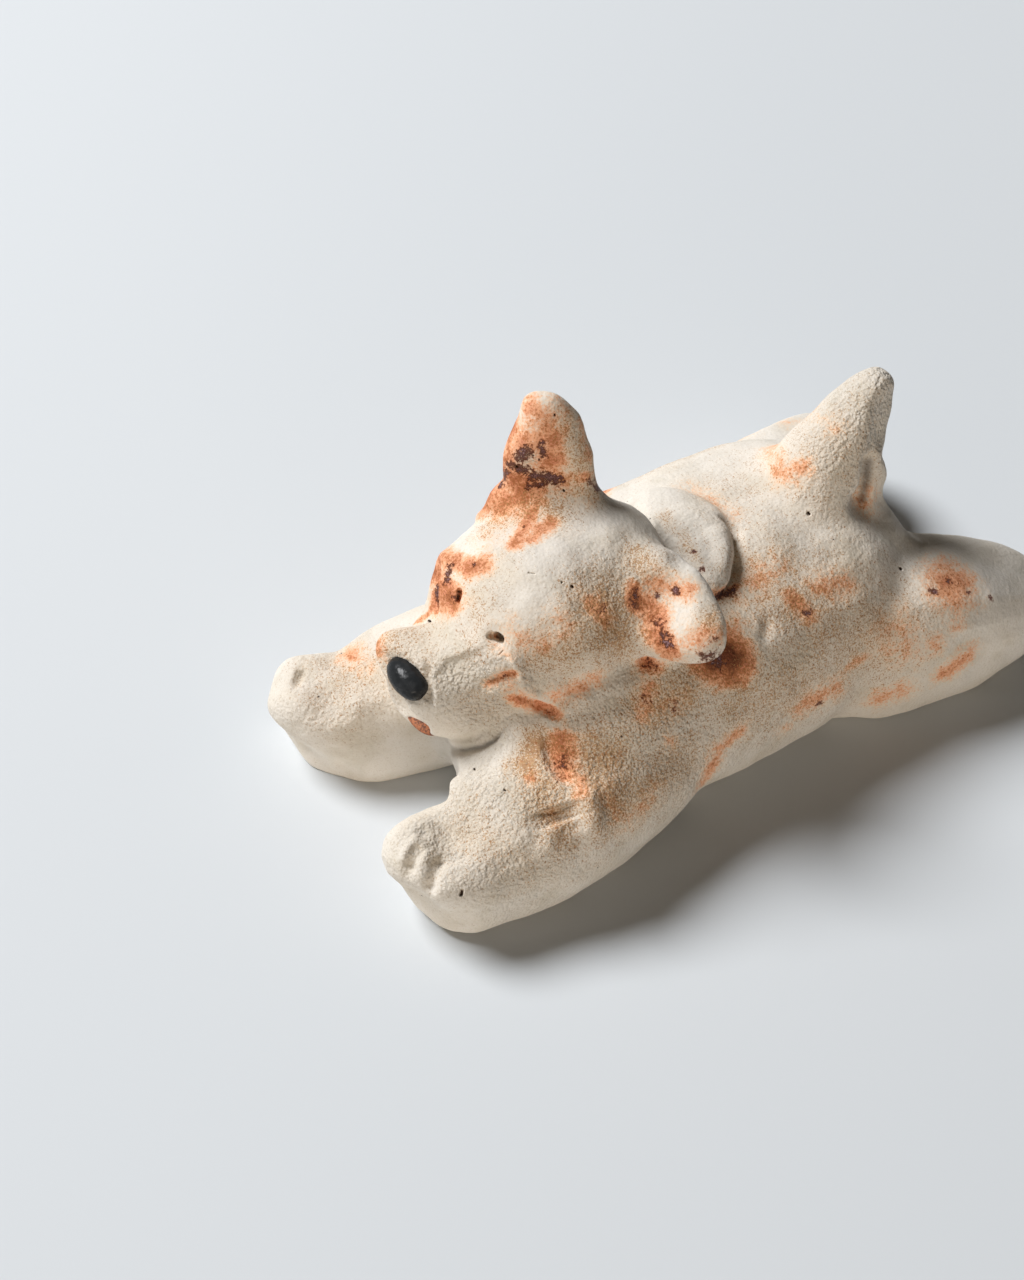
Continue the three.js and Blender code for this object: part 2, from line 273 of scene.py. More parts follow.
def reach(ground, places, width, wander=0.0):
    hits = [ground.spot(place) for place in places]
    line = np.array([hit for hit, normal in hits])
    facing = np.mean([normal for hit, normal in hits], axis=0)
    facing /= np.linalg.norm(facing)
    size = width * mm
    above, below = ground.points > line.min(axis=0) - size, ground.points < line.max(axis=0) + size
    near = np.all(above & below, axis=1)
    near &= ground.normals @ facing > -0.1
    chosen = np.nonzero(near)[0]
    gap, along, side = distanceTo(ground.points[chosen] + wander * ground.wander[chosen], line, facing)
    inside = gap < size
    return chosen[inside], gap[inside] / size, along[inside], side[inside] / size, facing


# Clay shoved aside: places in pixels or mm, width mm, how far in mm
shoves = {
    "muzzleTip": ([(-6.3, -36.8, 26.4)], 5.2, (-2.1, -1.5, 0.6)),
    "mouthFront": ([(-2.6, -38.6, 19.6), (-0.4, -38.4, 18.6)], 3.8, (0.9, 2.2, 0.4)),
    "jawUp": ([(455, 757), (470, 755), (484, 745)], 3.0, (-0.6, 0.4, 0.9)),
    "lip": ([(-3.4, -38.0, 18.2), (0.6, -37.8, 17.8)], 1.8, (0.1, 0.3, 0.1)),
    "brow": ([(-9.8, -30.3, 31.4), (-8.2, -31.0, 29.6)], 4.0, (0.8, 1.25, 0)),
    "browEdge": ([(419, 580), (416, 612)], 4.6, (1.6, 2.5, 0)),
    "earOuter": ([(-13.8, -14.5, 43.5), (-13.8, -14.5, 39.5)], 4.5, (0.55, 0.9, 0)),
    "earCorner": ([(509, 425)], 5.0, (0.6, 0.95, 0)),
    "earInner": ([(588, 436)], 3.4, (-0.3, -0.5, 0)),
    "earRoot": ([(496, 495), (490, 509)], 3.0, (-0.75, -1.15, 0)),
    "tailBack": ([(888, 408), (884, 432)], 3.8, (-0.75, -1.2, 0)),
    "rumpBack": ([(7.5, 32.5, 27.5), (9.0, 33.0, 22.0)], 4.5, (0.75, 1.15, 0)),
    "chest": ([(9.2, -35.4, 13.6)], 5.0, (-0.95, -1.45, 0)),
    "chestEdge": ([(462, 750), (462, 764)], 3.8, (-0.7, -1.1, 0)),
    "chestFoot": ([(445, 789)], 3.2, (0.6, 0.95, 0)),
    "farPawTop": ([(312, 660), (292, 664)], 4.0, (-0.1, 0.1, 0.9)),
    "farPawFoot": ([(310, 758), (335, 774)], 4.4, (-1.25, 0.8, 0)),
    "patchEnd": ([(745, 545), (745, 570)], 4.0, (-0.6, -0.9, 0)),
    "earTip": ([(722, 645)], 3.0, (-0.5, -0.2, 0.4)),
}

# Marks of thumbs and tools: places in pixels, width mm, lift mm, and 1 or -1 for one sharp side
marks = {
    "muzzleSide": ([(462, 700), (482, 712)], 5.5, -0.2),
    "muzzlePlane": ([(434, 677), (447, 661), (467, 655), (488, 647)], 3.6, -0.4, -1),
    "muzzleRidge": ([(436, 658), (467, 650), (497, 648)], 2.4, 0.25),
    "muzzleTop": ([(452, 632)], 4.0, 0.25),
    "noseDent": ([(426, 664), (428, 682), (431, 704)], 0.8, -0.9),
    "noseLip": ([(434, 668), (436, 702)], 1.2, 0.15),
    "mouthCrease": ([(486, 684), (501, 678), (515, 672)], 0.9, -0.8),
    "mouthLip": ([(488, 697), (505, 690), (516, 681)], 1.2, 0.3),
    "smearEdge": ([(503, 650), (517, 672), (524, 697), (555, 716)], 2.2, 0.65, 1),
    "cheekCrease": ([(521, 693), (539, 706), (557, 715)], 1.1, -0.8),
    "cheekSmear": ([(545, 688), (570, 702), (592, 688)], 2.4, 0.55),
    "cheekHollow": ([(565, 724), (605, 708), (645, 702)], 2.8, -0.6),
    "jawUnder": ([(450, 747), (462, 751), (478, 748), (490, 741), (500, 730)], 0.9, -1.0),
    "eyeHollow": ([(496, 641)], 2.8, -0.4),
    "cheekRise": ([(570, 640)], 7.0, 0.5),
    "templeDip": ([(600, 570), (590, 620)], 5.0, -0.45),
    "farBrow": ([(446, 560)], 3.0, 0.5),
    "farEyeLid": ([(449, 595)], 1.2, 0.4),
    "earPit": ([(646, 661)], 1.5, -1.0),
    "earDish": ([(664, 600)], 4.8, -0.85),
    "earRim": ([(660, 542), (695, 576), (718, 612), (722, 635)], 1.6, 0.4),
    "earGap": ([(634, 506), (652, 522), (684, 556), (710, 590)], 1.2, -1.4),
    "patchCrease": ([(722, 518), (738, 533), (738, 566), (731, 586), (713, 598)], 0.9, -1.1),
    "patchLip": ([(712, 526), (725, 548), (722, 575)], 2.2, 0.6),
    "patchDip": ([(680, 560)], 2.5, -0.4),
    "backDent": ([(768, 620), (763, 642)], 1.4, -0.5),
    "backSwell": ([(770, 540)], 6.0, 0.4),
    "flankDip": ([(700, 720)], 7.0, -0.5),
    "tailSlot": ([(870, 452), (869, 472), (866, 492)], 1.9, -1.6),
    "tailHollow": ([(860, 503)], 3.0, -1.3),
    "rumpFlap": ([(878, 458), (884, 480), (892, 505)], 1.8, 0.7),
    "shoulderHollow": ([(556, 806), (562, 824)], 4.6, -1.4),
    "shoulderRidge": ([(582, 788), (592, 812), (592, 840)], 2.2, 0.8),
    "shoulderKnob": ([(606, 790)], 3.0, 0.35),
    "legRidge": ([(553, 826), (546, 854)], 1.8, 0.5),
    "chestFold": ([(548, 736), (551, 757), (560, 772), (572, 785)], 1.3, -0.85),
    "chestSwell": ([(545, 765)], 3.5, 0.4),
    "chestNotch": ([(451, 772), (458, 778)], 1.2, -0.5),
    "wrist": ([(458, 826), (446, 842), (452, 868)], 4.2, -1.2),
    "pawKnob": ([(405, 845), (420, 856)], 3.6, 0.5),
    "toeOne": ([(420, 845), (408, 872)], 1.25, -1.0),
    "toeTwo": ([(441, 858), (429, 893)], 1.45, -1.2),
    "toeRidge": ([(430, 850), (418, 882)], 1.2, 0.3),
    "pawNotch": ([(420, 829), (425, 837)], 1.2, -0.5),
    "pawFacet": ([(400, 890)], 3.5, -0.5),
    "farToe": ([(301, 669), (296, 688)], 1.0, -0.9),
    "farWrist": ([(332, 704)], 4.0, -0.8),
    "farDent": ([(374, 733)], 5.0, -0.6),
    "farKnob": ([(296, 700)], 4.0, 0.4),
}
pokes = {  # holes left by the stick: places, half width mm, depth mm
    "nearEye": ([(496, 637), (499, 639)], 0.48, 2.0),
    "eyeRamp": ([(491, 636), (496, 638)], 0.45, 1.0),
    "farEye": ([(459, 592), (458, 599)], 0.36, 1.5),
    "browPit": ([(429, 621), (431, 622)], 0.2, 0.35),
    "legPit": ([(462, 891), (461, 895)], 0.2, 0.4),
    "pinOne": ([(572, 586), (573, 587)], 0.16, 0.3),
    "pinTwo": ([(562, 582), (562, 583)], 0.12, 0.3),
    "pinThree": ([(555, 414), (555, 415)], 0.14, 0.3),
    "pinFour": ([(516, 466), (517, 467)], 0.16, 0.3),
    "pinFive": ([(539, 459), (539, 460)], 0.15, 0.3),
    "pinSix": ([(563, 490), (564, 491)], 0.14, 0.3),
    "pinSeven": ([(474, 769), (475, 770)], 0.14, 0.3),
    "pinEight": ([(504, 790), (505, 791)], 0.13, 0.3),
    "pinNine": ([(808, 513), (809, 514)], 0.2, 0.3),
    "pinTen": ([(900, 568), (901, 569)], 0.2, 0.3),
}
cracks = {  # hairlines from drying: places, half width mm, depth mm
    "earArch": ([(519, 467), (525, 462), (533, 460), (541, 463), (546, 470), (551, 475)], 0.1, 0.1),
    "earStem": ([(536, 459), (538, 450), (537, 446), (541, 439)], 0.1, 0.1),
    "earHook": ([(537, 489), (541, 485), (547, 482), (556, 484), (563, 491)], 0.1, 0.1),
    "legFork": ([(457, 841), (462, 837), (464, 834), (463, 831), (460, 829)], 0.08, 0.1),
    "legBow": ([(467, 833), (472, 832), (479, 834), (484, 829), (490, 827)], 0.08, 0.1),
    "browNick": ([(529, 573), (535, 574)], 0.1, 0.15),
    "cheekNick": ([(499, 655), (503, 651)], 0.1, 0.15),
}
dents = {"broad": (9.0, 0.45), "middle": (3.6, 0.2), "small": (1.3, 0.04)}  # wavelength mm, height mm
# How stain edges and hairlines stray: wavelength mm, share
wanders = {"wide": (2.2, 0.75), "fine": (0.7, 0.25)}


def refine(mesh, lines, rounds):
    for k in range(rounds):
        ground = Ground(mesh)
        inside = np.zeros(len(ground.points), bool)
        for places, width, depth in lines:
            inside[reach(ground, places, width * 1.7 + 0.5 / (k + 1))[0]] = True
        bm = bmesh.new()
        bm.from_mesh(mesh)
        for v, chosen in zip(bm.verts, inside):
            v.select = bool(chosen)
        edges = [edge for edge in bm.edges if edge.verts[0].select and edge.verts[1].select]
        bmesh.ops.subdivide_edges(bm, edges=edges, cuts=1, use_grid_fill=True)
        bmesh.ops.triangulate(bm, faces=bm.faces)
        bm.to_mesh(mesh)
        bm.free()


def pressMarks(mesh):
    ground = Ground(mesh)
    points = ground.points.copy()
    for places, width, way in shoves.values():
        chosen, gap, along, side, facing = reach(ground, places, width)
        points[chosen] += ((1 - gap**2) ** 2 * mm)[:, None] * np.array(way)
    writePoints(mesh, points)
    ground = Ground(mesh)
    points = ground.points.copy()
    for places, width, lift, *sharp in marks.values():
        chosen, gap, along, side, facing = reach(ground, places, width)
        push = lift * (1 - gap**2) ** 2
        if len(places) > 1:
            push *= np.clip(np.minimum(along, 1 - along) * 4 + 0.3, 0, 1)
        if sharp:
            push *= np.clip(0.5 + side * sharp[0] * width / 0.6, 0, 1)
        points[chosen] += (push * mm)[:, None] * facing
    writePoints(mesh, points)
    ground = Ground(mesh)
    uneven = np.zeros(len(ground.points))
    for wave, height in dents.values():
        uneven += [noise.noise(p) * height for p in map(Vector, ground.points / (wave * mm))]
    writePoints(mesh, ground.points + (uneven * mm)[:, None] * ground.normals)
    holes = list(pokes.values()) + list(cracks.values())
    refine(mesh, holes, 2)
    ground = Ground(mesh)
    strayFrom(ground)
    points = ground.points.copy()
    for places, width, depth in holes:
        narrow = width < 0.16
        chosen, gap, along, side, facing = reach(ground, places, width * 1.5, wander=0.15 if narrow else 0.1)
        push = np.clip((1 - gap) / (0.8 if narrow else 0.4), 0, 1)
        points[chosen] -= (depth * mm * push * push * (3 - 2 * push))[:, None] * facing
    points[:, 2] = np.maximum(points[:, 2], 0)
    writePoints(mesh, points)


def strayFrom(ground):
    for wave, share in wanders.values():
        places = map(Vector, ground.points / (wave * mm))
        ground.wander += [noise.noise_vector(p) * share * mm for p in places]


pressMarks(clay.data)
print("marks pressed")

# Stains, grime and painted shade in holes: places in pixels, width in pixels, strength
stainsAndShade = {
    "rust": [
        ([(540, 425)], 48, 0.7),
        ([(510, 415), (508, 452), (500, 478), (484, 505)], 13, 1.2),
        ([(530, 405), (545, 425), (548, 445)], 18, 0.95),
        ([(521, 442), (546, 436), (552, 462)], 18, 1.05),
        ([(508, 472), (530, 488), (505, 503)], 20, 1.15),
        ([(500, 494), (482, 510)], 11, 1.1),
        ([(556, 470), (562, 482)], 14, 0.9),
        ([(580, 424), (591, 462)], 11, 0.72),
        ([(584, 478), (604, 491)], 9, 1.0),
        ([(560, 484), (590, 494)], 14, 0.5),
        ([(533, 510), (516, 543)], 9, 1.15),
        ([(551, 522), (530, 538)], 9, 1.05),
        ([(500, 520), (484, 545)], 26, 0.5),
        ([(438, 554), (450, 562), (467, 567), (483, 563)], 12, 1.15),
        ([(434, 571), (444, 588), (454, 600), (438, 600)], 14, 1.3),
        ([(433, 605), (426, 617), (416, 622)], 5, 1.1),
        ([(443, 613), (464, 604)], 11, 0.62),
        ([(490, 635), (496, 637)], 5, 0.8),
        ([(493, 645), (499, 647)], 3.5, 0.6),
        ([(510, 636), (540, 644), (566, 632), (559, 620)], 19, 0.64),
        ([(590, 600), (603, 618)], 11, 1.05),
        ([(488, 683), (501, 678), (515, 672)], 6, 0.95),
        ([(513, 698), (526, 704), (543, 705), (558, 714)], 8, 1.0),
        ([(508, 676), (518, 692)], 13, 0.72),
        ([(556, 695), (575, 688), (597, 677)], 12, 0.78),
        ([(494, 645), (510, 655)], 8, 0.6),
        ([(635, 592), (636, 606)], 9, 1.6),
        ([(640, 600), (654, 615), (658, 634), (668, 650)], 14, 1.2),
        ([(652, 582), (686, 591)], 12, 0.9),
        ([(673, 644), (711, 636)], 19, 0.75),
        ([(649, 663)], 14, 1.1),
        ([(714, 660), (726, 652), (732, 662)], 20, 1.85),
        ([(738, 625)], 18, 0.6),
        ([(714, 595), (733, 589)], 8, 1.0),
        ([(537, 745), (530, 762)], 15, 0.5),
        ([(562, 745), (565, 765)], 16, 1.25),
        ([(530, 777)], 10, 0.9),
        ([(579, 780), (583, 791)], 12, 0.95),
        ([(551, 812), (555, 826)], 9, 0.6),
        ([(650, 686), (642, 716)], 11, 0.85),
        ([(674, 706)], 17, 0.7),
        ([(669, 740)], 10, 0.7),
        ([(739, 733), (719, 748), (703, 781)], 13, 0.85),
        ([(628, 820), (653, 792)], 17, 0.6),
        ([(603, 797), (617, 814)], 14, 0.6),
        ([(776, 445), (786, 474), (799, 469)], 16, 0.82),
        ([(811, 413), (833, 429)], 14, 0.45),
        ([(690, 490), (728, 513)], 18, 0.55),
        ([(756, 582), (773, 573)], 22, 0.7),
        ([(742, 601)], 15, 0.62),
        ([(790, 597), (809, 616)], 12, 0.9),
        ([(820, 586), (842, 584)], 18, 0.82),
        ([(862, 502)], 18, 0.7),
        ([(951, 583)], 28, 1.15),
        ([(893, 630), (908, 646)], 30, 0.65),
        ([(935, 643)], 16, 0.7),
        ([(954, 625)], 18, 0.62),
        ([(965, 658), (948, 671)], 18, 0.85),
        ([(869, 654), (852, 663)], 12, 0.72),
        ([(806, 703), (832, 690)], 22, 0.78),
        ([(880, 699), (902, 691)], 18, 0.72),
        ([(786, 727)], 14, 0.6),
        ([(350, 653), (378, 648)], 14, 0.95),
        ([(365, 668)], 14, 0.5),
        ([(742, 430)], 22, 0.5),
        ([(790, 423)], 14, 0.6),
    ],
    "scorch": [
        ([(517, 457), (528, 453)], 8, 0.8),
        ([(541, 444), (543, 456)], 5, 0.75),
        ([(514, 466), (526, 470)], 7, 0.85),
        ([(535, 476), (556, 479)], 9, 0.85),
        ([(510, 462), (500, 484)], 6, 0.8),
        ([(530, 487), (541, 484)], 5, 0.85),
        ([(590, 482), (603, 490)], 6, 0.8),
        ([(524, 527)], 3, 0.6),
        ([(450, 566), (447, 582)], 5, 0.8),
        ([(437, 588), (438, 602)], 5, 0.75),
        ([(456, 598)], 5, 0.7),
        ([(474, 564)], 3.5, 0.6),
        ([(601, 610)], 6, 0.62),
        ([(505, 677)], 4, 0.6),
        ([(548, 711)], 4, 0.45),
        ([(635, 592), (634, 606)], 6, 0.65),
        ([(658, 622), (668, 644)], 8, 0.58),
        ([(676, 590)], 4.5, 1.2),
        ([(658, 596)], 3, 1.0),
        ([(667, 642)], 3.5, 0.9),
        ([(650, 663)], 9, 0.66),
        ([(708, 655), (720, 662)], 12, 0.7),
        ([(718, 596), (733, 590)], 6, 0.9),
        ([(564, 765)], 13, 0.55),
        ([(645, 700)], 9, 0.55),
        ([(674, 707)], 9, 0.52),
        ([(807, 613)], 5, 0.85),
        ([(952, 582)], 9, 0.55),
        ([(934, 590)], 6, 0.75),
        ([(969, 593)], 3.5, 0.8),
        ([(991, 598)], 3.5, 0.75),
        ([(820, 703)], 6, 0.62),
        ([(694, 551)], 3, 0.9),
        ([(702, 569)], 3.5, 1.0),
        ([(714, 640)], 6, 0.5),
    ],
    "speck": [
        ([(600, 600), (615, 640)], 46, 1.0),
        ([(640, 560)], 34, 0.8),
        ([(555, 655), (590, 640)], 44, 0.8),
        ([(570, 430), (585, 465)], 26, 0.8),
        ([(560, 476), (590, 490)], 22, 0.75),
        ([(490, 525), (540, 500), (560, 515)], 24, 0.8),
        ([(545, 790), (560, 830)], 40, 0.9),
        ([(538, 745), (528, 765)], 22, 1.25),
        ([(640, 790), (680, 760)], 60, 0.8),
        ([(650, 710), (690, 690)], 46, 0.9),
        ([(780, 600), (860, 640)], 100, 0.75),
        ([(740, 700), (800, 680)], 80, 0.75),
        ([(600, 760), (610, 800)], 60, 1.0),
        ([(760, 480), (840, 450)], 80, 0.45),
        ([(340, 680), (400, 640)], 60, 0.6),
        ([(480, 835), (540, 850), (600, 840)], 60, 0.5),
        ([(605, 800), (640, 780)], 40, 0.8),
        ([(640, 475), (710, 445)], 46, 0.45),
        ([(485, 700)], 40, 0.5),
        ([(712, 618)], 18, 1.0),
        ([(690, 520)], 40, 0.25),
        ([(665, 515), (700, 560)], 12, 0.7),
        ([(480, 600), (470, 640)], 34, 0.55),
        ([(820, 500)], 50, 0.45),
        ([(500, 560)], 36, 0.35),
    ],
    # grey and coarse clay, and partly painted shade: it darkens the muzzle's side plane and the far foreleg's
    # top
    "grimeAndShade": [  # grey, coarse and unpolished
        ([(480, 706)], 46, 0.9),
        ([(330, 690), (390, 680)], 60, 0.5),
        ([(530, 870), (440, 850)], 60, 0.7),
        ([(600, 760), (650, 720)], 60, 0.7),
        ([(700, 760), (780, 700)], 70, 0.3),
        ([(450, 685), (500, 685), (482, 716)], 34, 1.4),
        ([(615, 620)], 50, 0.5),
        ([(470, 850), (520, 840)], 60, 0.5),
        ([(470, 800), (530, 800)], 46, 1.0),
        ([(880, 385), (850, 410), (850, 440)], 60, 1.0),
    ],
    # painted shade inside the eye holes and the slot beside the tail
    "hollow": [
        ([(497, 637), (499, 639)], 3.6, 1.0),
        ([(459, 592), (458, 599)], 4, 1.0),
        ([(868, 462), (866, 480), (862, 500)], 11, 0.65),
    ],
}
# Width of a dab's soft skirt
spread = {"rust": 1.95, "scorch": 1.6, "speck": 1.5, "grimeAndShade": 1.5, "hollow": 1.2}
# Invented stains on the sides that the photograph doesn't show, least and most width in mm
farPatches = {"count": 40, "seed": 11, "least": 1.0, "most": 4.2}
pixel = 0.13  # mm at the nose


def paintDab(ground, field, places, width, strength, wander):
    chosen, gap, along, side, facing = reach(ground, places, width, wander)
    field[chosen] = np.maximum(field[chosen], strength * np.clip(1.1 * (1 - gap), 0, 1))


def paintFields(ground):
    fields = {name: np.zeros(len(ground.points)) for name in stainsAndShade}
    for name, dabs in stainsAndShade.items():
        for places, width, strength in dabs:
            wander = 0 if name == "hollow" else min(width * pixel * 0.35, 1)
            paintDab(ground, fields[name], places, width * pixel * spread[name], strength, wander)
    # painted shade inside the cracks and stick holes, darker where they are deeper
    darkened = list(cracks.values()) + list(pokes.values())[2:]  # the near eye has dabs of its own
    for places, width, depth in darkened:
        chosen, gap, along, side, facing = reach(ground, places, width * 1.4, 0.15)
        dark = min(depth / 0.3, 1)
        fields["hollow"][chosen] = np.maximum(fields["hollow"][chosen], dark * np.clip(1.5 * (1 - gap), 0, 1))
    chance = np.random.default_rng(farPatches["seed"])
    view = np.array(camera.location) - ground.points
    away = (ground.normals * view).sum(axis=1) / np.linalg.norm(view, axis=1)
    unseen = np.nonzero((away < -0.3) & (ground.points[:, 2] > 1.5 * mm))[0]
    far = {name: np.zeros(len(ground.points)) for name in ("rust", "speck", "scorch")}
    for k in range(farPatches["count"]):
        middle = ground.points[chance.choice(unseen)] / mm
        width = chance.uniform(farPatches["least"], farPatches["most"])
        places = [tuple(middle), tuple(middle + chance.normal(0, width * 0.7, 3))]
        strength = chance.uniform(0.5, 1.1)
        paintDab(ground, far["rust"], places, width * 1.4, strength, 1)
        paintDab(ground, far["speck"], places, width * 2.2, 0.7, 1)
        if strength > 0.9:
            paintDab(ground, far["scorch"], places, width * 0.8, 0.9, 1)
    hidden = np.clip(-away / 0.3, 0, 1)
    for name, field in far.items():
        fields[name] = np.maximum(fields[name], field * hidden)
    return fields


# Each lump as its own closed piece
lumps = {  # cut off in this order, and the torso is what is left
    "scruffPatch": {"node": "scruff_patch", "reach": 1.2},
    "rightEar": {"node": "ear_right", "reach": 1.6},
    "leftEar": {"node": "ear_left", "reach": 1.6},
    "tailRoll": {"node": "tail", "reach": 1.6},
    "leftForeleg": {"node": "front_leg_left", "reach": 1.6},
    "rightForeleg": {"node": "front_leg_right", "reach": 1.6},
    "leftHindLeg": {"node": "hind_leg_left", "reach": 1.6},
    "rightHindLeg": {"node": "hind_leg_right", "reach": 1.6},
    "headBall": {"node": "head", "reach": 1.8},
    "bodyRoll": {"node": "torso"},
}


cutterVoxel = 0.8
skinGap = 0.02 * mm  # a point this close to the uncut clay belongs to its outside


def cutLumps(whole):
    made = {}
    for name, lump in lumps.items():
        if "reach" not in lump:
            made[name] = whole
            break
        cutter = copyLumps([lump["node"]], lump["reach"])
        remesh(cutter, cutterVoxel)
        piece = bpy.data.objects.new(name, whole.data.copy())
        scene.collection.objects.link(piece)
        boolean(piece, cutter, "INTERSECT")
        boolean(whole, cutter, "DIFFERENCE")
        discard(cutter)
        made[name] = piece
    for name, piece in made.items():
        piece.name = name
        piece.data.name = name
    return made


ground = Ground(clay.data)
strayFrom(ground)
fields = paintFields(ground)
print("stains laid out")
pieces = cutLumps(clay)
print("lumps cut:", {name: len(piece.data.polygons) for name, piece in pieces.items()})


def carryOver(piece):  # stains and smooth normals come from the uncut clay, so that no seam shows
    mesh = piece.data
    points = readVectors(mesh)
    own = readVectors(mesh, "normal")
    hits = [ground.tree.find_nearest(Vector(p)) for p in points]
    where = np.array([hit[0] for hit in hits])
    face = np.array([hit[2] for hit in hits])
    outer = np.linalg.norm(points - where, axis=1) < skinGap
    a, b, c = (ground.points[ground.corners[face, k]] for k in range(3))
    area = np.cross(b - a, c - a)
    size = np.maximum((area * area).sum(axis=1), 1e-30)
    shareB = (np.cross(where - a, c - a) * area).sum(axis=1) / size
    shareC = (np.cross(b - a, where - a) * area).sum(axis=1) / size
    shares = np.stack([1 - shareB - shareC, shareB, shareC], axis=1)
    normals = (ground.normals[ground.corners[face]] * shares[:, :, None]).sum(axis=1)
    normals[~outer] = own[~outer]
    normals /= np.maximum(np.linalg.norm(normals, axis=1), 1e-9)[:, None]
    for polygon in mesh.polygons:
        polygon.use_smooth = True
    mesh.normals_split_custom_set_from_vertices(normals.tolist())
    for field, values in fields.items():
        data = mesh.attributes.new(field, "FLOAT", "POINT")
        data.data.foreach_set("value", (values[ground.corners[face]] * shares).sum(axis=1))


for name, piece in pieces.items():
    carryOver(piece)
    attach(piece, "root")
    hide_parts(lumps[name]["node"])
print("pieces dressed")


# Materials
class Wire:
    def __init__(self, tree, socket=None):
        self.tree = tree
        self.socket = socket

    def plug(self, value, into):
        if isinstance(value, Wire):
            self.tree.links.new(value.socket, into)
        else:
            into.default_value = value

    def node(self, kind, settings=None, sockets=None, output=0):
        made = self.tree.nodes.new("ShaderNode" + kind)
        for name, value in (settings or {}).items():
            setattr(made, name, value)
        for name, value in (sockets or {}).items():
            self.plug(value, made.inputs[name])
        return Wire(self.tree, made.outputs[output])

    def math(self, operation, first, second):
        return self.node("Math", {"operation": operation}, {0: first, 1: second})

    def __add__(self, other):
        return self.math("ADD", self, other)

    def __radd__(self, other):
        return self.math("ADD", other, self)

    def __sub__(self, other):
        return self.math("SUBTRACT", self, other)

    def __rsub__(self, other):
        return self.math("SUBTRACT", other, self)

    def __mul__(self, other):
        return self.math("MULTIPLY", self, other)

    def __rmul__(self, other):
        return self.math("MULTIPLY", other, self)

    def step(self, low, high):
        settings = {"interpolation_type": "SMOOTHSTEP", "clamp": True}
        return self.node("MapRange", settings, {"Value": self, "From Min": low, "From Max": high})

    def mix(self, first, second, share):
        settings = {"data_type": "RGBA", "clamp_factor": True}
        return self.node("Mix", settings, {0: share, 6: first, 7: second}, output=2)

    def noise(self, where, wave, detail=2.0, roughness=0.5):
        sockets = {"Vector": where, "Scale": 1 / (wave * mm), "Detail": detail, "Roughness": roughness}
        return self.node("TexNoise", None, sockets)

    def cells(self, where, spacing, output="Distance"):
        sockets = {"Vector": where, "Scale": 1 / (spacing * mm)}
        return self.node("TexVoronoi", {"feature": "F1"}, sockets, output=output)


def newFinish(name, settings):
    material = bpy.data.materials.new(name)
    material.use_nodes = True
    bsdf = material.node_tree.nodes["Principled BSDF"]
    for socket, value in settings.items():
        bsdf.inputs[socket].default_value = value
    wire = Wire(material.node_tree)
    where = wire.node("TexCoord", output="Object")
    return material, bsdf, wire, where


stoneware = {
    "cream": (0.75, 0.70, 0.63, 1),
    "buff": (0.66, 0.585, 0.475, 1),
    "olive": (0.55, 0.50, 0.40, 1),
    "gap": (0.40, 0.32, 0.22, 1),
    "ochre": (0.45, 0.25, 0.10, 1),
    "grimeAndShadeGrey": (0.48, 0.43, 0.36, 1),
    "tan": (0.60, 0.46, 0.31, 1),
    "peach": (0.84, 0.62, 0.43, 1),
    "orange": (0.80, 0.35, 0.17, 1),
    "ember": (0.60, 0.18, 0.07, 1),
    "dot": (0.42, 0.155, 0.055, 1),
    "rust": (0.34, 0.10, 0.04, 1),
    "core": (0.14, 0.04, 0.018, 1),
    "scorch": (0.10, 0.042, 0.046, 1),
    # painted sheen on the scorched glass
    "scorchSheen": (0.40, 0.25, 0.28, 1),
    "speck": (0.32, 0.14, 0.05, 1),
    # painted shade inside holes and cracks
    "hole": (0.035, 0.018, 0.011, 1),
    "roughness": 0.88,
}
waves = {  # mm, from broad clouds to single grains
    "cloud": 8,
    "blotch": 5,
    "torn": 2.2,
    "ragged": 0.8,
    "relief": 0.6,
    "grain": 0.36,
    "fine": 0.22,
}
sandSpacing, pinholeSpacing = 0.44, 2.9  # mm
clayRelief = 0.3 * mm


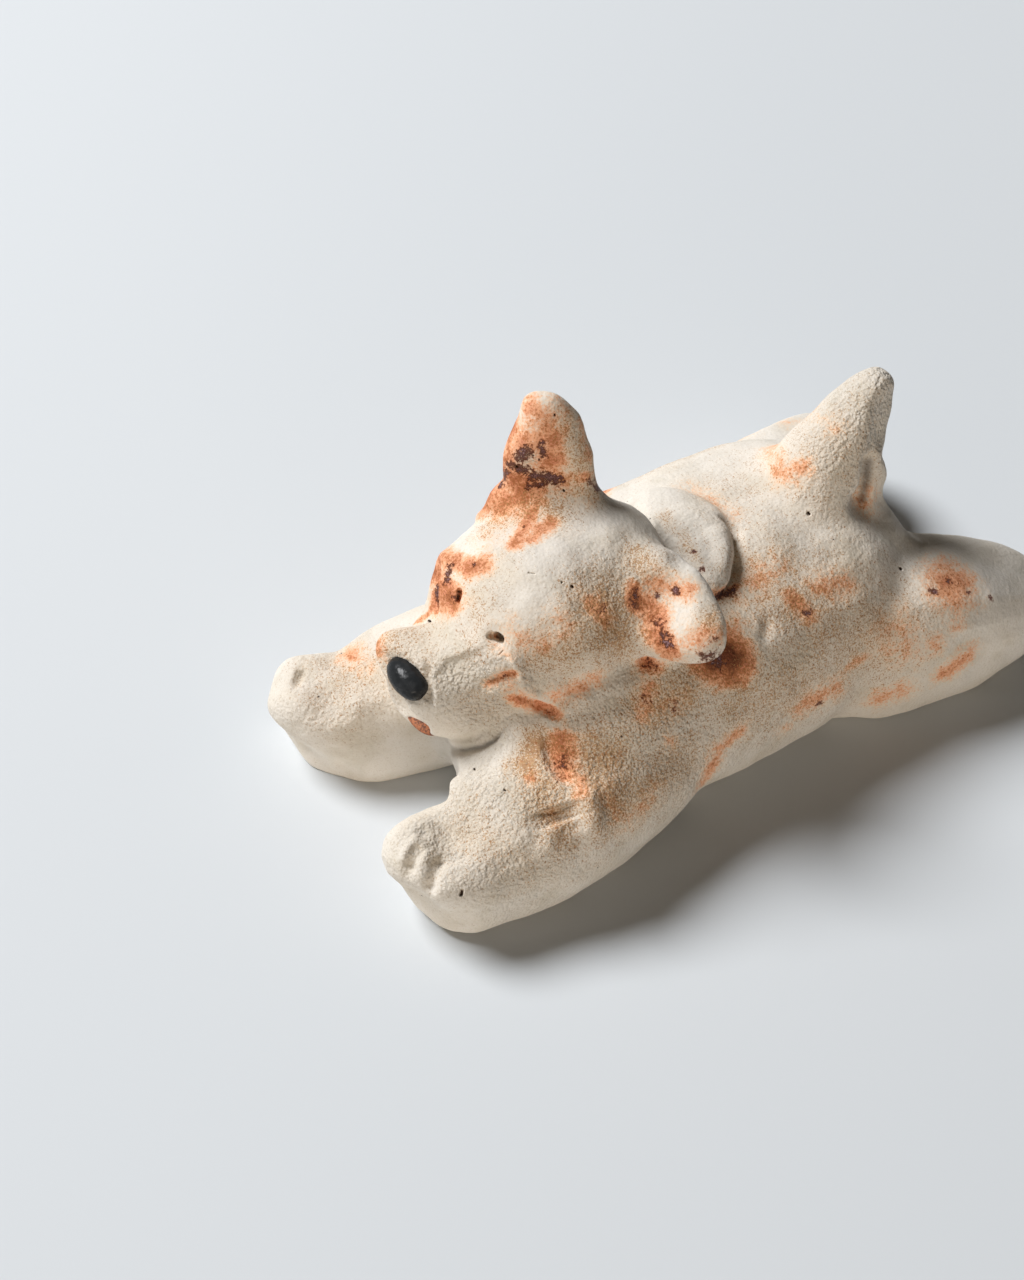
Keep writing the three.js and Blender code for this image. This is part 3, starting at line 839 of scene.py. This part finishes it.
def makeStoneware():
    material, bsdf, wire, where = newFinish("stoneware", {"Specular IOR Level": 0.25})
    rust, scorch, dirt, grimeAndShade, hollow = (
        wire.node("Attribute", {"attribute_name": name}, output="Fac")
        for name in ("rust", "scorch", "speck", "grimeAndShade", "hollow")
    )
    cloud = wire.noise(where, waves["cloud"], 3)
    torn = wire.noise(where, waves["torn"], 4, 0.7)
    ragged = wire.noise(where, waves["ragged"], 3, 0.7)
    grain = wire.noise(where, waves["grain"], 3, 0.75)
    fine = wire.noise(where, waves["fine"], 2, 0.7)

    def stipple(amount, grains):  # dots that grow with the amount until they run together
        return (grains + amount * 0.36 - 0.7).step(-0.03, 0.05)

    # Pale sandy clay with tan in its pits; the darker flecks are partly painted shade between sand grains
    dirtiness = (dirt * 0.8 + rust * 0.9 + (torn - 0.5) * 1.4).step(0.1, 0.9)
    warm = cloud.step(0.42, 0.68) * 0.45 + fine.step(0.4, 0.7) * 0.3
    pale = wire.mix(stoneware["cream"], stoneware["buff"], warm)
    blotch = wire.noise(where, waves["blotch"], 2)
    pale = wire.mix(pale, stoneware["olive"], blotch.step(0.52, 0.74) * 0.4)
    # grey where grime is laid, partly painted shade
    pale = wire.mix(pale, stoneware["grimeAndShadeGrey"], grimeAndShade * 0.42 * (0.5 + torn))
    pale = wire.mix(pale, stoneware["tan"], (dirt + (torn - 0.5) * 0.6).step(0.0, 1.1) * 0.6)
    pitTanAndShadeColour = wire.mix(stoneware["gap"], stoneware["ochre"], dirtiness * 0.7)
    depth = (0.25 + dirtiness * 0.4 + grimeAndShade * 0.6 + (ragged - 0.5) * 1.2).step(0.0, 1.0)
    pitTanAndShade = (grain + (fine - 0.5) * 0.8).step(0.54, 0.68)
    colour = wire.mix(pale, pitTanAndShadeColour, pitTanAndShade * depth * 0.75)
    # Iron that bled through: a warm wash, then dots, then solid
    rough = (torn - 0.5) + (ragged - 0.5) * 0.7
    amount = rust + rough * rust.step(0.0, 0.4)
    wash = wire.mix(stoneware["peach"], stoneware["orange"], (amount + (fine - 0.5) * 0.5).step(0.3, 0.9))
    deeper = amount + (torn - 0.5) + (grain - 0.5) * 0.6
    wash = wire.mix(wash, stoneware["ember"], deeper.step(0.8, 1.3))
    colour = wire.mix(colour, stoneware["peach"], amount.step(0.05, 0.8) * 0.4)
    dithered = amount + (grain - 0.5) * 1.5 + (fine - 0.5) * 0.6
    colour = wire.mix(colour, wash, dithered.step(0.3, 0.85) * 0.85)
    dots = stipple(amount * 0.85 - 0.37 + (ragged - 0.5) * 0.5, grain)
    colour = wire.mix(colour, stoneware["dot"], dots * 0.75)
    colour = wire.mix(colour, stoneware["rust"], stipple(amount - 0.95, fine) * 0.8)
    colour = wire.mix(colour, stoneware["core"], (amount + (fine - 0.5)).step(1.3, 1.75) * 0.9)
    # Dirt: tan and brown dots
    brown = stipple((dirt * 0.75 + rough * 0.8) * dirt.step(0.0, 0.3) - 0.05, fine)
    dirtColour = wire.mix(stoneware["ochre"], stoneware["speck"], grain.step(0.4, 0.6))
    colour = wire.mix(colour, dirtColour, brown * 0.75)
    # Scorched iron glass, crackled, with pale lilac in the crackle painted on as sheen
    burn = scorch + ((torn - 0.5) * 0.9 + (ragged - 0.5) * 1.5) * scorch.step(0.0, 0.4)
    colour = wire.mix(colour, stoneware["rust"], (burn + (grain - 0.5) * 1.2).step(0.2, 0.65) * 0.6)
    burnt = (burn + (grain - 0.5) * 1.8).step(0.52, 0.7)
    sheenCrackle = (fine + (ragged - 0.5) * 0.9).step(0.58, 0.66)
    glass = wire.mix(stoneware["scorch"], stoneware["scorchSheen"], sheenCrackle * 0.7)
    glass = wire.mix(stoneware["core"], glass, (burn + (torn - 0.5) * 0.8).step(0.68, 0.86))
    colour = wire.mix(colour, glass, burnt * 0.85)
    # Pinholes left by burnt-out bits; they, the stick holes, the cracks and the slot beside the tail are
    # painted near-black as shade
    cellColour = wire.cells(where, pinholeSpacing, "Color")
    holeChance = wire.node("SeparateColor", None, {"Color": cellColour}, output=1)
    pinhole = (1 - wire.cells(where, pinholeSpacing).step(0.03, 0.055)) * holeChance.step(0.66, 0.7)
    colour = wire.mix(colour, stoneware["hole"], wire.math("MAXIMUM", pinhole * 0.8, hollow.step(0.2, 0.9)))
    wire.plug(colour, bsdf.inputs["Base Color"])
    wire.plug(stoneware["roughness"] - burnt * 0.5, bsdf.inputs["Roughness"])
    sandy = 0.22 + grimeAndShade * 0.75 + dirt * 0.14 + (cloud - 0.5) * 0.3
    relief = wire.noise(where, waves["relief"], 1.4, 0.5)
    sand = 1 - wire.cells(where, sandSpacing).step(0.1, 0.75)
    height = (sand * 0.22 + relief * 1.5 + ragged * 0.3) * sandy + torn * 0.15
    height = height - pinhole * 0.8 - burnt * fine * 1.3
    bump = wire.node("Bump", None, {"Strength": 1.0, "Distance": clayRelief, "Height": height})
    wire.plug(bump, bsdf.inputs["Normal"])
    return material


clayFinish = makeStoneware()
for piece in pieces.values():
    piece.data.materials.clear()
    piece.data.materials.append(clayFinish)
print("stoneware finish made")

blackGlaze = {
    "colour": (0.011, 0.012, 0.013, 1),
    "patch": (0.024, 0.025, 0.026, 1),
    "roughness": 0.24,
    "level": 0.14,
}
ironClay = {
    "bright": (0.42, 0.15, 0.065, 1),
    "dark": (0.12, 0.045, 0.025, 1),
    "roughness": 0.75,
}


def makeBlackGlaze():
    material, bsdf, wire, where = newFinish("blackGlaze", {"Specular IOR Level": blackGlaze["level"]})
    patchy = wire.noise(where, 1.4, 3)
    colour = wire.mix(blackGlaze["colour"], blackGlaze["patch"], patchy.step(0.4, 0.7))
    wire.plug(colour, bsdf.inputs["Base Color"])
    wire.plug(blackGlaze["roughness"] + (patchy - 0.5) * 0.3, bsdf.inputs["Roughness"])
    ripple = wire.noise(where, 1.1, 2) + wire.noise(where, 0.35, 2) * 0.25
    bump = wire.node("Bump", None, {"Strength": 0.7, "Distance": 0.14 * mm, "Height": ripple})
    wire.plug(bump, bsdf.inputs["Normal"])
    return material


def makeIronClay():
    material, bsdf, wire, where = newFinish("ironClay", {"Roughness": ironClay["roughness"]})
    grain = wire.noise(where, 0.3, 3, 0.6)
    colour = wire.mix(ironClay["dark"], ironClay["bright"], grain.step(0.4, 0.56))
    wire.plug(colour, bsdf.inputs["Base Color"])
    bump = wire.node("Bump", None, {"Strength": 1.0, "Distance": 0.12 * mm, "Height": grain})
    wire.plug(bump, bsdf.inputs["Normal"])
    return material


def dressPellet(name, node, rounds, material):
    bm = bmesh.new()
    bm.from_mesh(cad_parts[node].data)
    bmesh.ops.remove_doubles(bm, verts=bm.verts, dist=weld)
    pellet = newObject(name, bm)
    mod = pellet.modifiers.new("rounding", "SUBSURF")
    mod.levels = mod.render_levels = rounds
    applyModifiers(pellet)
    for polygon in pellet.data.polygons:
        polygon.use_smooth = True
    pellet.data.materials.clear()
    pellet.data.materials.append(material)
    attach(pellet, "root")
    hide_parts(node)
    return pellet


dressPellet("nosePellet", "nose", 1, makeBlackGlaze())
dressPellet("tongueTab", "tongue", 1, makeIronClay())
print("nose and tongue made")

# Pale table and soft window light from the dog's right
studio = {
    "floor": (0.64, 0.67, 0.695, 1),
    "floorSize": 3.0,
    "sky": (1.0, 0.82, 0.62, 1),
    "skyStrength": 0.042,
    "backdrop": (0.80, 0.83, 0.86, 1),
    "lamps": {  # size across and size up
        "windowLight": {
            "place": Vector((-0.881, -0.561, 1.212)),
            "size": (0.72, 0.72),
            "power": 34.8,
            "colour": (0.985, 0.99, 1.0),
        },
        "wallBounce": {
            "place": Vector((0.82, -0.66, 0.09)),
            "size": (1.0, 0.16),
            "power": 4.5,
            "colour": (1.0, 0.88, 0.74),
        },
    },
}


def makeStudio():
    bm = bmesh.new()
    bmesh.ops.create_grid(bm, x_segments=1, y_segments=1, size=studio["floorSize"] / 2)
    floor = newObject("tableTop", bm)
    material, bsdf, wire, where = newFinish("tablePaint", {"Base Color": studio["floor"], "Roughness": 0.85})
    floor.data.materials.append(material)
    world = bpy.data.worlds.new("studio")
    scene.world = world
    world.use_nodes = True
    sky = Wire(world.node_tree)
    path = world.node_tree.nodes.new("ShaderNodeLightPath")
    direct, mirrored = (Wire(sky.tree, path.outputs[ray]) for ray in ("Is Camera Ray", "Is Glossy Ray"))
    seen = sky.math("MAXIMUM", direct, mirrored)
    background = world.node_tree.nodes["Background"]
    sky.plug(sky.mix(studio["sky"], studio["backdrop"], seen), background.inputs["Color"])
    sky.plug(studio["skyStrength"] + seen * (1 - studio["skyStrength"]), background.inputs["Strength"])
    for name, light in studio["lamps"].items():
        data = bpy.data.lights.new(name, "AREA")
        data.shape = "ELLIPSE"
        data.size, data.size_y = light["size"]
        data.energy = light["power"]
        data.color = light["colour"]
        lamp = bpy.data.objects.new(name, data)
        lamp.location = light["place"]
        lamp.rotation_euler = light["place"].to_track_quat("Z", "Y").to_euler()
        lamp.visible_camera = False
        scene.collection.objects.link(lamp)


makeStudio()
scene.view_settings.view_transform = "Standard"
print("studio lit")
